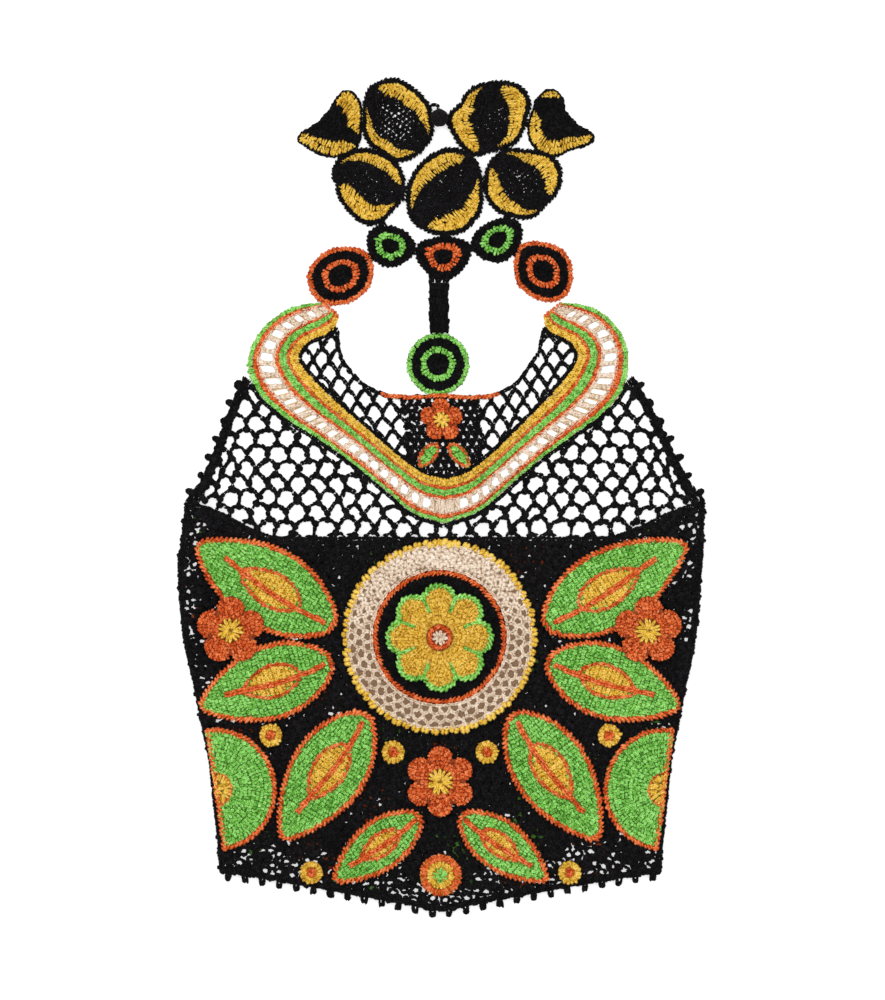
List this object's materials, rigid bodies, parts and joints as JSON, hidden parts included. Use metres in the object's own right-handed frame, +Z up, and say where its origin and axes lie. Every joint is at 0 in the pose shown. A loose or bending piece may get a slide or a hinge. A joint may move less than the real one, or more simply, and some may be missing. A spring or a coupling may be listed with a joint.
{
  "type": "crochet halter top",
  "caption": "Crocheted cotton halter top laid flat, with open net, a banded yoke, a petal collar and sewn-on leaves, flowers and roundels",
  "frame": {"origin": "middle of the laid garment's outline, on the surface it lies on", "axes": "+Y towards the collar, +X to the right as seen from above, +Z up off the surface"},
  "size_m": [0.395, 0.6275, 0.0152],
  "materials": {
    "black_cotton": "matte",
    "green_cotton": "matte",
    "orange_cotton": "matte",
    "yellow_cotton": "matte",
    "cream_cotton": "matte"
  },
  "bodies": {
    "root": {"back_panel": "black_cotton", "button_ball": "black_cotton", "collar_disc_center": "black_cotton", "collar_disc_large_left": "orange_cotton", "collar_disc_large_right": "orange_cotton", "collar_disc_small_left": "black_cotton", "collar_disc_small_right": "black_cotton", "collar_petal_back_left": "yellow_cotton", "collar_petal_back_right": "yellow_cotton", "collar_petal_front_center": "yellow_cotton", "collar_petal_front_left": "yellow_cotton", "collar_petal_front_right": "yellow_cotton", "collar_petal_side_left": "yellow_cotton", "collar_petal_side_right": "yellow_cotton", "daisy": "yellow_cotton", "daisy_center": "orange_cotton", "flower_center": "orange_cotton", "flower_left": "orange_cotton", "flower_right": "orange_cotton", "front_ground": "black_cotton", "front_net_left": "black_cotton", "front_net_right": "black_cotton", "hem_rosette": "yellow_cotton", "leaf_hem_left": "green_cotton", "leaf_hem_right": "green_cotton", "leaf_lower_left": "green_cotton", "leaf_lower_right": "green_cotton", "leaf_middle_left": "green_cotton", "leaf_middle_right": "green_cotton", "leaf_upper_left": "green_cotton", "leaf_upper_right": "green_cotton", "neck_disc": "green_cotton", "neck_flower": "orange_cotton", "neck_leaf_left": "green_cotton", "neck_leaf_right": "green_cotton", "neck_net": "black_cotton", "rosette_1": "yellow_cotton", "rosette_2": "yellow_cotton", "rosette_3": "yellow_cotton", "rosette_4": "yellow_cotton", "rosette_5": "yellow_cotton", "rosette_6": "yellow_cotton", "roundel": "cream_cotton", "side_fan_left": "green_cotton", "side_fan_right": "green_cotton", "strap": "black_cotton", "yoke_band": "orange_cotton"}
  },
  "joints": []
}
